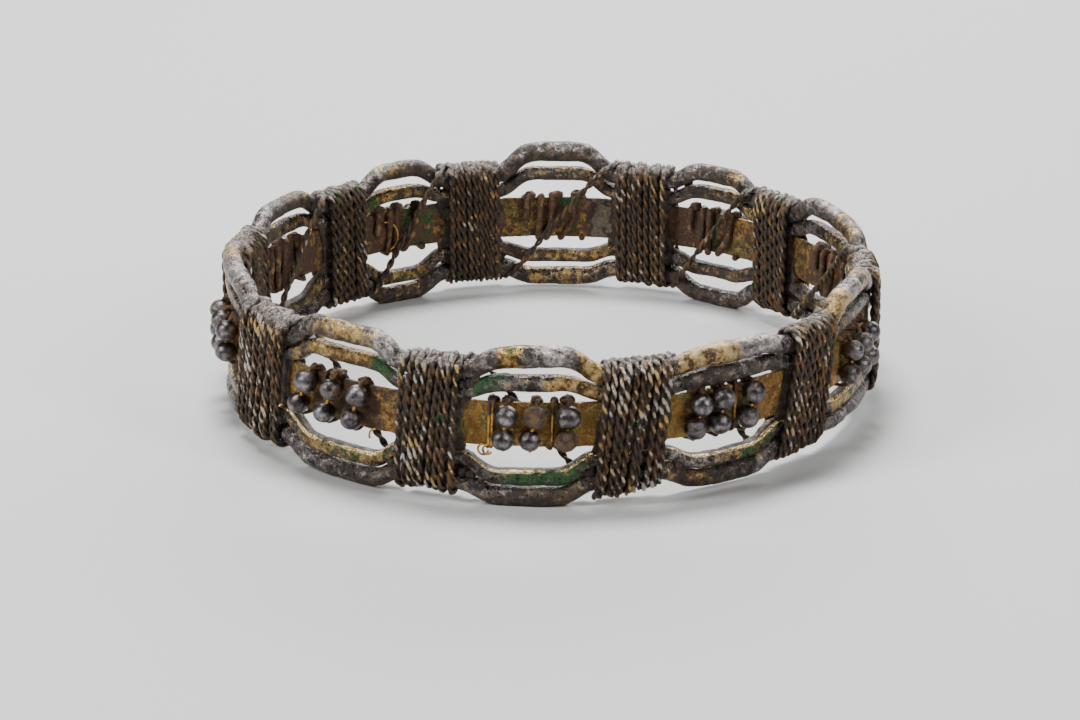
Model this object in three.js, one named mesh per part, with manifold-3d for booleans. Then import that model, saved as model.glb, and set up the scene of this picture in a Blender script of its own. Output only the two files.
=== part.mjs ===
// An ancient openwork bracelet: four metal rods and a flat band run round side by side. Ten wrappings of
// twisted wire bind them, and between the wrappings the rods bow apart, round beads laced on the band.
// Millimetres, +Z up. The hoop's axis is Z, and the lowest rod's feet stand on Z = 0.
import * as THREE from "three";
import { mergeVertices } from "three/addons/utils/BufferGeometryUtils.js";
import Module from "manifold-3d";

const wasm = await Module();
wasm.setup();

// Driving sizes.
const HOOP_RADIUS = 32; // from the axis to the middle of the rods
const CLEARANCE = 0.06; // between pieces that lie against each other
const OUTER_ROD_RADIUS = 0.95;
const INNER_ROD_WIDTH = 1.5;
const INNER_ROD_HEIGHT = 1.4;
const BAND_HEIGHT = 4.5;
const BAND_THICKNESS = 0.5;
const WIRE_DIAMETER = 0.74; // of the twisted binding wire
const WIRE_GROOVE = 0.24; // depth of the groove between two turns
const BEAD_DIAMETER = 2.15;
const BEAD_SPREAD = 0.14; // how far two beads of a row part, as a share of the window's spare length
const BEAD_ROW_GAP = 0.2; // between the upper and the lower bead
const BEAD_LEAN = 0.45; // the lower bead's shift along the band
const LACING_DIAMETER = 0.4; // of the thin wire that carries the beads

// The bracelet is made by hand, so each wrapping and each window has its own figures.
// Windows and wrappings are counted anticlockwise from the front, seen from above. Wrapping k is after window k.
const FIRST_WRAP_ANGLE = 14.4; // degrees from the front
const WRAP_DRIFT = [0, -0.2, 1.1, 7.4, 2.6, 1.0, -5.8, -8.2, -0.4, 1.6]; // degrees off an even spacing
const WRAP_TURNS = [10, 10, 10, 9, 10, 10, 9, 9, 12, 9];
const WRAP_LEAN = [1.2, 3.2, 0.8, 0.6, 0.6, 0.5, 0.6, 0.8, 2.8, 1.1]; // mm along the hoop, top over foot
const WRAP_SPREAD = [0.1, 0, 0.15, 0.1, 0.35, 0.3, 0.15, 0.15, 0.45, 0.45]; // mm, added to the outer rods
const LOWER_SPREAD = 0.6; // mm more for the lower one, which hangs in its wrappings
const UPPER_BOW = [1.95, 0.55, 1.55, 1.55, 1.55, 2.25, 1.65, 1.45, 1.75, 1.95]; // mm, past lying close
const LOWER_BOW = [2.25, 1.65, 0.5, 0.8, 2.25, 1.7, 2.25, 1.95, 1.75, 2.15];
const UPPER_INNER_SHARE = [0.37, 0.24, 0.47, 0.47, 0.6, 0.68, 0.38, 0.47, 0.47, 0.63]; // the inner rod's part
const LOWER_INNER_SHARE = [0.81, 0.87, 0.87, 0.68, 0.39, 0.54, 0.81, 0.84, 0.84, 0.85];
const BEAD_SHIFT = [0.4, -0.4, 0.3, 0, 0.2, 0.5, 0.2, 0, -0.3, -0.3]; // mm off the window's middle

// Shares and counts that shape the curves.
const RISE_LENGTH = 1.8; // mm from a wrapping over which a rod rises into a window, or up to its beads
const ROD_SIDES = 6;
const BAND_STATIONS = 30;
const BEAD_SIDES = 5;
const BARREL_SHARE = 0.45; // how much of a bead's half height is full width
const SEAT_MARGIN = 0.3; // the rods run level this far past a wrapping
const END_LEAN = 0.5; // a wrapping's outermost turns lean this much less than its middle ones
const RIM_DROP = 0.4; // of the outer rods' radius: how far a wrapping's flat side ends below the rod's top
const CROSSING = [[0, 0], [0.14, 0.1], [0.45, 0.44], [0.75, 0.76], [1, 1]]; // shares along and down
const CROSSING_SIDES = 4;

// What follows from them.
const COUNT = WRAP_TURNS.length;
const rodHalfHeight = OUTER_ROD_RADIUS * Math.sin(Math.PI / 3); // a six-sided rod lies on its flat
const outerOverInner = INNER_ROD_HEIGHT / 2 + CLEARANCE + rodHalfHeight;
const seatInner = BAND_HEIGHT / 2 + CLEARANCE + INNER_ROD_HEIGHT / 2; // levels of the rods in a wrapping
const seatOuter = seatInner + outerOverInner;
const beadLevel = (BEAD_DIAMETER + BEAD_ROW_GAP) / 2;
const lacingEdge = Math.max(BAND_HEIGHT / 2 + CLEARANCE, beadLevel) + LACING_DIAMETER / 2;
const beadedHalfHeight = Math.max(lacingEdge + LACING_DIAMETER / 2, beadLevel + BEAD_DIAMETER / 2);
const lacedInner = beadedHalfHeight + CLEARANCE + INNER_ROD_HEIGHT / 2; // their least levels over the beads
const lacedOuter = lacedInner + outerOverInner;
const midHeight = lacedOuter + Math.max(...LOWER_BOW) + rodHalfHeight;
const stackHalfWidth = Math.max(OUTER_ROD_RADIUS, INNER_ROD_WIDTH / 2, BAND_THICKNESS / 2);
const beadRadius = HOOP_RADIUS + BAND_THICKNESS / 2 + CLEARANCE + BEAD_DIAMETER / 2; // from the axis
const degrees = THREE.MathUtils.degToRad;
const wrapAngle = (k) => degrees(FIRST_WRAP_ANGLE + (360 / COUNT) * k + WRAP_DRIFT[k]);
const wrapHalfWidth = (k) => (WRAP_TURNS[k] * WIRE_DIAMETER) / 2;
const seatHalfAngle = (k) => (wrapHalfWidth(k) + SEAT_MARGIN) / HOOP_RADIUS;
const bundleTop = (k) => seatOuter + rodHalfHeight + WRAP_SPREAD[k]; // the rods' reach in a wrapping
const bundleFoot = (k) => bundleTop(k) + LOWER_SPREAD;
const leanAt = (k, level) => (WRAP_LEAN[k] * level) / (2 * bundleTop(k)); // along the hoop, mid turns
const endLean = (k) => leanAt(k, bundleTop(k)) * END_LEAN;
const seatShift = (k, level) => (leanAt(k, level) * END_LEAN) / HOOP_RADIUS;

// The window before wrapping k, at a level: its first and last angle, and its beads' middle, pitch and half extent.
function windowOf(k, level = 0) {
  const before = (k + COUNT - 1) % COUNT;
  const turnBack = k === 0 ? 2 * Math.PI : 0;
  const start = wrapAngle(before) + seatHalfAngle(before) + seatShift(before, level) - turnBack;
  const end = wrapAngle(k) - seatHalfAngle(k) + seatShift(k, level);
  const spare = (end - start) * HOOP_RADIUS - 3 * BEAD_DIAMETER;
  const pitch = BEAD_DIAMETER + BEAD_SPREAD * spare;
  const reach = (pitch + (BEAD_LEAN + LACING_DIAMETER) / 2 + CLEARANCE) / HOOP_RADIUS;
  return { before, start, end, middle: (start + end) / 2 + BEAD_SHIFT[k] / HOOP_RADIUS, pitch, reach };
}

// A point of the hoop: angle from the front, distance from the axis and height over the band's middle.
function onHoop(angle, radius, height) {
  return new THREE.Vector3(
    radius * Math.sin(angle),
    -radius * Math.cos(angle),
    midHeight + height,
  );
}

const material = (color, roughness, metalness) =>
  new THREE.MeshStandardMaterial({ color, roughness, metalness });
const rodMetal = material(0x7d7263, 0.5, 0.8);
const gilding = material(0xa97f3c, 0.45, 0.85);
const wireMetal = material(0x5f554b, 0.5, 0.8);
const beadMetal = material(0x8f8a88, 0.3, 0.9);

const bracelet = new THREE.Group();
function addPiece(name, geometry, metal) {
  const mesh = new THREE.Mesh(geometry, metal);
  mesh.name = name;
  bracelet.add(mesh);
}

// Rods and band.

// The angles at which a rod gets a section, once round from the first window. In a window, risen goes from 0 at
// its ends to 1 before the beads start.
function rodStations(row) {
  const seatLevel = (row.side * (seatInner + seatOuter)) / 2; // the same for both rods of a row
  const stations = [];
  for (let k = 0; k < COUNT; k++) {
    const { before, start, end } = windowOf(k, seatLevel);
    const { middle, reach } = windowOf(k);
    const rise = RISE_LENGTH / HOOP_RADIUS;
    const first = Math.min(rise, middle - reach - start) / (end - start);
    const last = 1 - Math.min(rise, end - middle - reach) / (end - start);
    const smooth = (t) => THREE.MathUtils.smoothstep(t, 0, 1);
    for (const share of [first / 2, first, 1 / 2, last, (1 + last) / 2]) {
      const risen = smooth(Math.min(share / first, (1 - share) / (1 - last)));
      const spread = THREE.MathUtils.lerp(WRAP_SPREAD[before], WRAP_SPREAD[k], share);
      stations.push({ angle: start + (end - start) * share, k, risen, spread });
    }
    for (const side of [-1, 0, 1]) {
      const angle = wrapAngle(k) + side * seatHalfAngle(k) + seatShift(k, seatLevel);
      stations.push({ angle, k, risen: 0, spread: WRAP_SPREAD[k] });
    }
  }
  return stations;
}

// A rod's level at a station: in a wrapping it lies on the stack, in a window it clears the beads and bows out.
function rodLevel(row, { k, risen, spread }) {
  const seat = row.inner ? seatInner : seatOuter + spread + row.extraSpread;
  const share = row.inner ? row.innerShares[k] : 1;
  const bowed = (row.inner ? lacedInner : lacedOuter) + share * row.bows[k];
  return row.side * THREE.MathUtils.lerp(seat, bowed, risen);
}

// A closed hoop from a section, given as offsets outward and upward, at the given stations.
function hoop(section, stations, levelAt) {
  const profile = [...section, section[0]].map(([out, up]) => new THREE.Vector2(HOOP_RADIUS + out, up));
  const geometry = new THREE.LatheGeometry(profile, stations.length);
  const position = geometry.attributes.position;
  for (let i = 0; i < position.count; i++) {
    const station = stations[Math.floor(i / profile.length) % stations.length];
    const { x: radius, y: up } = profile[i % profile.length];
    const point = onHoop(station.angle, radius, levelAt(station) + up);
    position.setXYZ(i, point.x, point.y, point.z);
  }
  return geometry;
}

const roundSection = Array.from({ length: ROD_SIDES }, (_, i) => {
  const turn = (2 * Math.PI * i) / ROD_SIDES;
  return [OUTER_ROD_RADIUS * Math.cos(turn), OUTER_ROD_RADIUS * Math.sin(turn)];
});
const boxSection = (width, height) =>
  [[1, -1], [1, 1], [-1, 1], [-1, -1]].map(([x, y]) => [(x * width) / 2, (y * height) / 2]);

function addRods() {
  const round = roundSection;
  const square = boxSection(INNER_ROD_WIDTH, INNER_ROD_HEIGHT);
  const upper = { side: 1, extraSpread: 0, bows: UPPER_BOW, innerShares: UPPER_INNER_SHARE };
  const lower = { side: -1, extraSpread: LOWER_SPREAD, bows: LOWER_BOW, innerShares: LOWER_INNER_SHARE };
  const rows = [
    { ...upper, name: "rod_upper_outer", section: round },
    { ...upper, name: "rod_upper_inner", section: square, inner: true },
    { ...lower, name: "rod_lower_inner", section: square, inner: true },
    { ...lower, name: "rod_lower_outer", section: round },
  ];
  for (const row of rows)
    addPiece(row.name, hoop(row.section, rodStations(row), (station) => rodLevel(row, station)), rodMetal);
}

function addBand() {
  const stations = Array.from({ length: BAND_STATIONS }, (_, i) => ({
    angle: (2 * Math.PI * i) / BAND_STATIONS,
  }));
  addPiece("band", hoop(boxSection(BAND_THICKNESS, BAND_HEIGHT), stations, () => 0), gilding);
}

// A closed tube through a route of [point, radius] with sharp, mitred bends.
function tube(route, sides) {
  const geometry = new THREE.CylinderGeometry(1, 1, 1, sides, route.length - 1);
  const position = geometry.attributes.position;
  const points = route.map(([point]) => point);
  for (let i = 0; i < position.count; i++) {
    const at = Math.round((0.5 - position.getY(i)) * (route.length - 1));
    const [point, radius] = route[at];
    const before = point.clone().sub(points[Math.max(at - 1, 0)]).normalize();
    const after = points[Math.min(at + 1, points.length - 1)].clone().sub(point).normalize();
    const along = before.clone().add(after);
    const mitre = at > 0 && at < points.length - 1 ? 2 / along.length() : 1;
    along.normalize();
    const round = new THREE.Vector3(-point.y, point.x, 0).normalize(); // along the hoop
    const side = round.clone().addScaledVector(along, -round.dot(along)).normalize();
    const across = along.clone().cross(side);
    const moved = point.clone();
    moved.addScaledVector(side, radius * position.getX(i));
    moved.addScaledVector(across, radius * mitre * position.getZ(i));
    position.setXYZ(i, moved.x, moved.y, moved.z);
  }
  return geometry;
}

// Joining and cutting.

function solid(geometry) {
  const bare = geometry.clone();
  for (const name of Object.keys(bare.attributes)) if (name !== "position") bare.deleteAttribute(name);
  const merged = mergeVertices(bare, 1e-4);
  return new wasm.Manifold(
    new wasm.Mesh({
      numProp: 3,
      vertProperties: new Float32Array(merged.attributes.position.array),
      triVerts: new Uint32Array(merged.index.array),
    }),
  );
}

function geometryOf(made) {
  const mesh = made.getMesh();
  return new THREE.BufferGeometry()
    .setAttribute("position", new THREE.BufferAttribute(mesh.vertProperties, 3))
    .setIndex(new THREE.BufferAttribute(mesh.triVerts, 1));
}

// Wrappings of twisted wire.

// An upright outline with a blunt point above and below, as THREE.Shape.
function uprightOutline(halfWidth, sideHeight, peakHeight) {
  const shape = new THREE.Shape();
  shape.moveTo(halfWidth, -sideHeight).lineTo(halfWidth, sideHeight).lineTo(0, peakHeight);
  shape.lineTo(-halfWidth, sideHeight).lineTo(-halfWidth, -sideHeight).lineTo(0, -peakHeight);
  return shape;
}

// An outline extruded along the hoop over a wrapping, set on the bundle's middle and leaning with height.
// grow(step) widens each section.
function alongWrap(k, outline, steps, halfWidth, grow) {
  const geometry = new THREE.ExtrudeGeometry(outline, { depth: 1, steps, bevelEnabled: false });
  const position = geometry.attributes.position;
  for (let i = 0; i < position.count; i++) {
    const out = -position.getX(i); // turned round, so that the faces stay outward
    const up = position.getY(i) - LOWER_SPREAD / 2;
    const share = position.getZ(i);
    const wider = grow(Math.round(share * steps));
    const lean = leanAt(k, up) * (1 - Math.abs(2 * share - 1) * (1 - END_LEAN));
    const along = (2 * share - 1) * halfWidth + lean;
    const point = onHoop(
      wrapAngle(k) + along / HOOP_RADIUS,
      HOOP_RADIUS + out + wider * Math.sign(out),
      up + wider * Math.sign(up),
    );
    position.setXYZ(i, point.x, point.y, point.z);
  }
  return solid(geometry);
}

function windings(k) {
  const holeHalfWidth = stackHalfWidth + CLEARANCE;
  const holeHalfHeight = (bundleTop(k) + bundleFoot(k)) / 2 + CLEARANCE;
  const wall = WIRE_DIAMETER - WIRE_GROOVE;
  const rounding = OUTER_ROD_RADIUS * RIM_DROP;
  const outside = uprightOutline(holeHalfWidth + wall, holeHalfHeight - rounding, holeHalfHeight + 2 * wall);
  const hole = uprightOutline(holeHalfWidth, holeHalfHeight - rounding / 2, holeHalfHeight + rounding / 2);
  const turns = WRAP_TURNS[k];
  const ridges = alongWrap(k, outside, 2 * turns, wrapHalfWidth(k), (step) => (step % 2 ? WIRE_GROOVE : 0));
  const through = alongWrap(k, hole, 2, wrapHalfWidth(k) + SEAT_MARGIN, () => 0);
  return ridges.subtract(through);
}

// The same wire runs on from the top of a wrapping, slanting down behind the window to the next wrapping's foot.
function crossingWire(k) {
  const next = (k + 1) % COUNT;
  const inside = HOOP_RADIUS - stackHalfWidth - CLEARANCE - WIRE_DIAMETER / 2;
  const start = wrapAngle(k) + (wrapHalfWidth(k) + endLean(k) - WIRE_DIAMETER / 2) / inside;
  const gap = CLEARANCE + WIRE_GROOVE;
  const nextStart = wrapAngle(next) - (wrapHalfWidth(next) + endLean(next) + WIRE_DIAMETER / 2 + gap) / inside;
  const end = nextStart + (next === 0 ? 2 * Math.PI : 0);
  const high = bundleTop(k) - WIRE_DIAMETER / 2;
  const low = WIRE_DIAMETER / 2 - bundleFoot(next);
  const route = [];
  for (const [share, fall] of CROSSING)
    route.push(onHoop(start + (end - start) * share, inside, THREE.MathUtils.lerp(high, low, fall)));
  return solid(tube(route.map((point) => [point, WIRE_DIAMETER / 2]), CROSSING_SIDES));
}

function addWraps() {
  for (let k = 0; k < COUNT; k++) {
    const name = `wire_wrap_${String(k + 1).padStart(2, "0")}`;
    addPiece(name, geometryOf(windings(k).add(crossingWire(k))), wireMetal);
  }
}

// Beads laced on the band.

// One wire carries the beads of a window. At each column it comes out under the band, rises through two beads,
// turns in over the band's edge and slants down behind the band to the foot of the next column.
function beadRow(k) {
  const { middle, pitch } = windowOf(k);
  const facetDip = HOOP_RADIUS * (1 - Math.cos(Math.PI / BAND_STATIONS)); // how far the flats dip inward
  const back = HOOP_RADIUS - BAND_THICKNESS / 2 - facetDip - CLEARANCE - LACING_DIAMETER / 2;
  const wire = LACING_DIAMETER / 2;
  const bead = BEAD_DIAMETER / 2;
  const route = [];
  for (const column of [-1, 0, 1]) {
    const angle = (height) => middle + (column * pitch + (BEAD_LEAN * height) / (2 * lacingEdge)) / beadRadius;
    const at = (radius, height) => onHoop(angle(height), radius, height);
    route.push([at(back, -lacingEdge), wire], [at(beadRadius, -lacingEdge), wire]);
    for (const row of [-1, 1]) {
      if (row > 0) route.push([at(beadRadius, 0), wire]);
      for (const end of [-1, 1]) {
        route.push([at(beadRadius, row * beadLevel + end * bead * BARREL_SHARE), bead]);
      }
    }
    route.push([at(beadRadius, lacingEdge), wire], [at(back, lacingEdge), wire]);
  }
  return tube(route, BEAD_SIDES);
}

function addBeadRows() {
  for (let k = 0; k < COUNT; k++)
    addPiece(`bead_row_${String(k + 1).padStart(2, "0")}`, beadRow(k), beadMetal);
}

addRods();
addBand();
addWraps();
addBeadRows();

export default bracelet;
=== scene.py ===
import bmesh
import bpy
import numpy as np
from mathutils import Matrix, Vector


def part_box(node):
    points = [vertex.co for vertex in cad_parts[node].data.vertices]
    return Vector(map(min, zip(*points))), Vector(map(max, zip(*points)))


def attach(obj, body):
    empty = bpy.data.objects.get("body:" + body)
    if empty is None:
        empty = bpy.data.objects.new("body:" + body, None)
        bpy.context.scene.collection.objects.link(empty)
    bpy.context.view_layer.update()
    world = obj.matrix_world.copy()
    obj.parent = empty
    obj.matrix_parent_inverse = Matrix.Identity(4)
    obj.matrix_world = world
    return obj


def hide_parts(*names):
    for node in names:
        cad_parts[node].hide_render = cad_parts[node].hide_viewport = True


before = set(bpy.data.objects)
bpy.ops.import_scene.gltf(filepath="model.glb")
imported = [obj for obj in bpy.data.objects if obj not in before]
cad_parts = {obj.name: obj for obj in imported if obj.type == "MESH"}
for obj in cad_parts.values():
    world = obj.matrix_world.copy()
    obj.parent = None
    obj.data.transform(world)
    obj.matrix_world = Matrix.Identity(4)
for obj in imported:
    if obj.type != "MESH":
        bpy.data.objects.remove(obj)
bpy.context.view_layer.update()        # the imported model: its bodies, nodes, joints and record

# %% [markdown]
# # An ancient openwork bracelet
# The real bracelet is a closed hoop of gilded silver, long buried. Four rods and a flat band run round
# side by side, ten wrappings of twisted wire bind them, and between the wrappings the rods bow apart round
# beads that a thin wire laces to the band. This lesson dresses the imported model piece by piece: each plain
# node is replaced by a finer mesh that follows the node's own line, and gets a worn metal of its own.

# %% [markdown]
# ## The hoop as a ruler
# Everything on the bracelet sits somewhere round the hoop, so places are given as an angle from the
# front, a distance from the axis and a height over the band's middle. One could place every vertex in x,
# y and z instead, but then no number would say anything about the bracelet. Lengths are in millimetres
# until a piece is finished, and the finished meshes are in metres.

# %% Places on the hoop
MM = 0.001
TURN = 2 * np.pi
HOOP_RADIUS = 32.0
band_low, band_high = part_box("band")
MID_HEIGHT = (band_low.z + band_high.z) / 2 / MM


def on_hoop(angle, radius, height):
    """Points in mm from angles in radians, distances from the axis and heights over the middle."""
    angle, radius, height = np.broadcast_arrays(angle, radius, height)
    return np.stack([radius * np.sin(angle), -radius * np.cos(angle), MID_HEIGHT + height], axis=-1)


def angle_of(points):
    """The angle from the front, in radians from 0 to a full turn."""
    return np.arctan2(points[:, 0], -points[:, 1]) % TURN


print("the middle of the band is", round(MID_HEIGHT, 2), "mm up")

# %% [markdown]
# ## Camera, light and floor
# The photo looks down on the bracelet at about nineteen degrees from a good distance, so the ellipse of
# the hoop hardly narrows towards the back. The bracelet sits a little right of and above the middle of the
# frame: the camera is aimed, rather than shifted, to put it there. Soft boxes stand above, left, right and
# behind, because old silver only reads as metal when it has something bright and something dark to mirror.

# %% Putting things into the scene
def new_object(name, data):
    """An object with that data, in the scene."""
    made = bpy.data.objects.new(name, data)
    bpy.context.scene.collection.objects.link(made)
    return made


# %% The camera
VIEW_HEIGHT_DEG = 19.3
VIEW_DISTANCE = 0.400
LENS_MM = 130.5
SENSOR_MM = 36
PIXELS_PER_TAN = 3915.0  # focal length in pixels of the photo's width
OFF_CENTRE_PX = (8.2, 47.4)  # the hoop's middle, right of and above the frame's middle

hoop_middle = Vector((0, 0, MID_HEIGHT * MM))
elevation = np.radians(VIEW_HEIGHT_DEG)
towards_camera = Vector((0, -np.cos(elevation), np.sin(elevation)))
camera_up = Vector((0, np.sin(elevation), np.cos(elevation)))
camera_data = bpy.data.cameras.new("camera")
camera_data.lens = LENS_MM
camera_data.sensor_width = SENSOR_MM
camera_data.clip_start = 0.01
camera = new_object("camera", camera_data)
camera.location = hoop_middle + towards_camera * VIEW_DISTANCE
pixel = VIEW_DISTANCE / PIXELS_PER_TAN  # the width that a pixel of the photo covers at the hoop
right, above = OFF_CENTRE_PX
aim = hoop_middle - Vector((1, 0, 0)) * right * pixel - camera_up * above * pixel
camera.rotation_euler = (aim - camera.location).to_track_quat("-Z", "Y").to_euler()
bpy.context.scene.camera = camera
print("camera at", [round(c, 3) for c in camera.location])


# %% Soft boxes
def soft_box(name, place, size, power):
    """An area light that faces the bracelet."""
    data = bpy.data.lights.new(name, "AREA")
    data.shape = "RECTANGLE"
    data.size, data.size_y = size
    data.energy = power
    lamp = new_object(name, data)
    lamp.location = place
    lamp.rotation_euler = (hoop_middle - lamp.location).to_track_quat("-Z", "Y").to_euler()


soft_box("box_top", (-0.05, 0.12, 0.50), (0.20, 0.14), 4.5)
soft_box("box_left", (-0.42, -0.18, 0.34), (0.10, 0.26), 2.5)
soft_box("box_right", (0.40, -0.26, 0.36), (0.09, 0.22), 1.7)
soft_box("box_behind", (0.10, 0.50, 0.22), (0.50, 0.12), 3.0)

SKY = (0.80, 0.82, 0.85, 1)
SKY_STRENGTH = 0.11
world = bpy.data.worlds.new("studio")
world.use_nodes = True
background = world.node_tree.nodes["Background"]
background.inputs["Color"].default_value = SKY
background.inputs["Strength"].default_value = SKY_STRENGTH
bpy.context.scene.world = world

# %% The floor
FLOOR_HALF = 2.0
PALE_PAPER = (0.55, 0.545, 0.54, 1)
floor_mesh = bpy.data.meshes.new("floor")
floor_bm = bmesh.new()
bmesh.ops.create_grid(floor_bm, x_segments=1, y_segments=1, size=FLOOR_HALF)
floor_bm.to_mesh(floor_mesh)
floor_bm.free()
floor = new_object("floor", floor_mesh)
floor_paper = bpy.data.materials.new("floor_paper")
floor_paper.use_nodes = True
floor_shader = floor_paper.node_tree.nodes["Principled BSDF"]
floor_shader.inputs["Base Color"].default_value = PALE_PAPER
floor_shader.inputs["Roughness"].default_value = 0.8
floor_mesh.materials.append(floor_paper)
print("floor:", 2 * FLOOR_HALF, "m wide")

# %% [markdown]
# ## Finishing a piece
# Each piece is shaped as a bmesh in millimetres. To finish it, its doubles are merged, its normals are
# turned outward, and it becomes an object at the origin that rides on the bracelet's one body and replaces
# the plain nodes it stands for. A piece can carry numbers on its vertices, such as how worn or how green
# each spot is, and the metals read them. They could be painted as image textures, but numbers stay sharp
# at any distance.


# %% Points, marks and noise
def get_points(vertices):
    """The places of vertices as an array."""
    return np.array([v.co[:] for v in vertices])


def set_points(vertices, points):
    """Moves vertices to an array of points."""
    for vertex, point in zip(vertices, points):
        vertex.co = point


def set_mark(bm, name, values):
    """Keeps a number on each vertex."""
    layer = bm.verts.layers.float.get(name) or bm.verts.layers.float.new(name)
    for vertex, value in zip(bm.verts, values):
        vertex[layer] = value


LATTICE_SIZE = 64
LATTICE = np.random.default_rng(7).uniform(-1, 1, (LATTICE_SIZE,) * 3)


def rough(points, size, seed):
    """Smooth noise from -1 to 1 at each point, with lumps about size mm wide."""
    spots = np.asarray(points) / size + seed
    base = np.floor(spots).astype(int)
    fade = np.clip(spots - base, 0, 1)
    fade = fade * fade * (3 - 2 * fade)
    total = 0
    for corner in np.ndindex(2, 2, 2):
        weight = np.prod(np.where(np.array(corner) == 1, fade, 1 - fade), axis=1)
        x, y, z = ((base + corner) % LATTICE_SIZE).T
        total = total + weight * LATTICE[x, y, z]
    return total


# %% Finishing a piece
WELD_GAP = 1e-4


def finish_piece(name, bm, metal, nodes=()):
    """A bmesh in millimetres becomes a finished, riding object that replaces the nodes."""
    bmesh.ops.remove_doubles(bm, verts=bm.verts, dist=WELD_GAP)
    bmesh.ops.recalc_face_normals(bm, faces=bm.faces)
    bmesh.ops.scale(bm, vec=(MM, MM, MM), verts=bm.verts)
    mesh = bpy.data.meshes.new(name)
    bm.to_mesh(mesh)
    bm.free()
    mesh.shade_smooth()
    mesh.materials.append(metal)
    piece = new_object(name, mesh)
    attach(piece, "root")
    if nodes:
        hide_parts(*nodes)
    print(name, len(mesh.polygons), "faces")


def rolled_grid(steps, sides):
    """A flat grid, to be rolled up along and around. Gives each vertex's share along and angle around."""
    bm = bmesh.new()
    bmesh.ops.create_grid(bm, x_segments=steps, y_segments=sides, size=0.5)
    shares = get_points(bm.verts) + 0.5
    return bm, shares[:, 0], TURN * shares[:, 1]


# %% [markdown]
# ## Worn metals
# Buried gilded silver shows four things side by side: bright silver where it is rubbed, a pale grey crust
# with black pits, gilding that turns ochre and orange, and green where copper has bled out. Brown earth
# sits in every hollow. Each could be a material on its own faces, but the real borders are frayed, so one
# material mixes them by noise, which the marks on the vertices push up.

# %% Building node trees


class Nodes:
    """A short way to write a material's node tree."""

    def __init__(self, name):
        self.material = bpy.data.materials.new(name)
        self.material.use_nodes = True
        self.tree = self.material.node_tree
        self.shader = self.tree.nodes["Principled BSDF"]
        self.place = self.tree.nodes.new("ShaderNodeTexCoord").outputs["Object"]

    def add(self, kind, inputs=(), out=0, **settings):
        """A node of that kind. inputs: socket name or number to a value or another node's output."""
        node = self.tree.nodes.new(kind)
        for key, value in settings.items():
            setattr(node, key, value)
        for key, value in dict(inputs).items():
            self.put(node.inputs[key], value)
        return node.outputs[out]

    def put(self, socket, value):
        """Links an output to a socket, or sets the socket's own value."""
        if isinstance(value, bpy.types.NodeSocket):
            self.tree.links.new(value, socket)
        else:
            socket.default_value = value

    def noise(self, feature_mm, seed, detail=4.0, roughness=0.55):
        """Fractal noise, about 0.5 on average, with lumps about feature_mm wide."""
        moved = self.add("ShaderNodeMapping", {0: self.place, 1: (seed, seed * 0.7, -seed)})
        scale = 1 / (feature_mm * MM)
        found = {"Vector": moved, "Scale": scale, "Detail": detail, "Roughness": roughness}
        return self.add("ShaderNodeTexNoise", found)

    def speckle(self, feature_mm, seed):
        """A fine noise, and the light and dark grains in it."""
        fine = self.noise(feature_mm, seed, detail=6, roughness=0.75)
        return fine, self.between(fine, 0.38, 0.62)

    def cells(self, feature_mm):
        """Distance to the nearest of scattered points: small round pits where it is low."""
        return self.add("ShaderNodeTexVoronoi", {"Vector": self.place, "Scale": 1 / (feature_mm * MM)})

    def mark(self, name):
        """A number kept on the vertices."""
        return self.add("ShaderNodeAttribute", out=2, attribute_name=name)

    def math(self, operation, first, second):
        """One sum on two numbers."""
        return self.add("ShaderNodeMath", {0: first, 1: second}, operation=operation)

    def plus(self, first, second):
        """Two numbers added up."""
        return self.math("ADD", first, second)

    def minus(self, first, second):
        """One number less another."""
        return self.math("SUBTRACT", first, second)

    def times(self, first, second):
        """One number times another."""
        return self.math("MULTIPLY", first, second)

    def larger(self, first, second):
        """The larger of two numbers."""
        return self.math("MAXIMUM", first, second)

    def swing(self, noise, size):
        """A noise's swing about its average of 0.5, times size."""
        return self.times(self.minus(noise, 0.5), size)

    def between(self, value, low, high):
        """0 below low, 1 above high and a smooth step between."""
        return self.add("ShaderNodeMapRange", {0: value, 1: low, 2: high}, interpolation_type="SMOOTHSTEP")

    def pushed(self, noise, mark, push, low, high):
        """0 to 1 where a noise, pushed up by a mark, rises from low to high: a field with a frayed edge."""
        return self.between(self.plus(noise, self.times(self.mark(mark), push)), low, high)

    def mix(self, amount, first, second):
        """Mixes two colours."""
        return self.add("ShaderNodeMix", {0: amount, 6: first, 7: second}, out=2, data_type="RGBA")

    def blend(self, amount, first, second):
        """Mixes two numbers."""
        return self.add("ShaderNodeMix", {0: amount, 2: first, 3: second}, data_type="FLOAT")

    def bump(self, height, depth_mm):
        """Raises the surface by height times depth_mm."""
        return self.add("ShaderNodeBump", {"Height": height, "Distance": depth_mm * MM, "Strength": 1.0})

    def finish(self, colour, metallic, roughness, normal):
        """Joins the shader's sockets and gives the material back."""
        sockets = {"Base Color": colour, "Metallic": metallic, "Roughness": roughness, "Normal": normal}
        for socket, value in sockets.items():
            self.put(self.shader.inputs[socket], value)
        print(self.material.name, len(self.tree.nodes), "shader nodes")
        return self.material


# %% Colours that the metals share
TARNISH = (0.020, 0.016, 0.013, 1)
DULL_SILVER = (0.036, 0.029, 0.024, 1)
GREY_SILVER = (0.19, 0.165, 0.155, 1)
PALE_CRUST = (0.52, 0.475, 0.465, 1)
OCHRE = (0.135, 0.068, 0.016, 1)
GILDING = (0.42, 0.28, 0.095, 1)
RUST = (0.115, 0.048, 0.018, 1)
EARTH = (0.030, 0.020, 0.013, 1)
GREEN_DARK = (0.005, 0.032, 0.006, 1)
GREEN_LIGHT = (0.023, 0.105, 0.018, 1)

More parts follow.
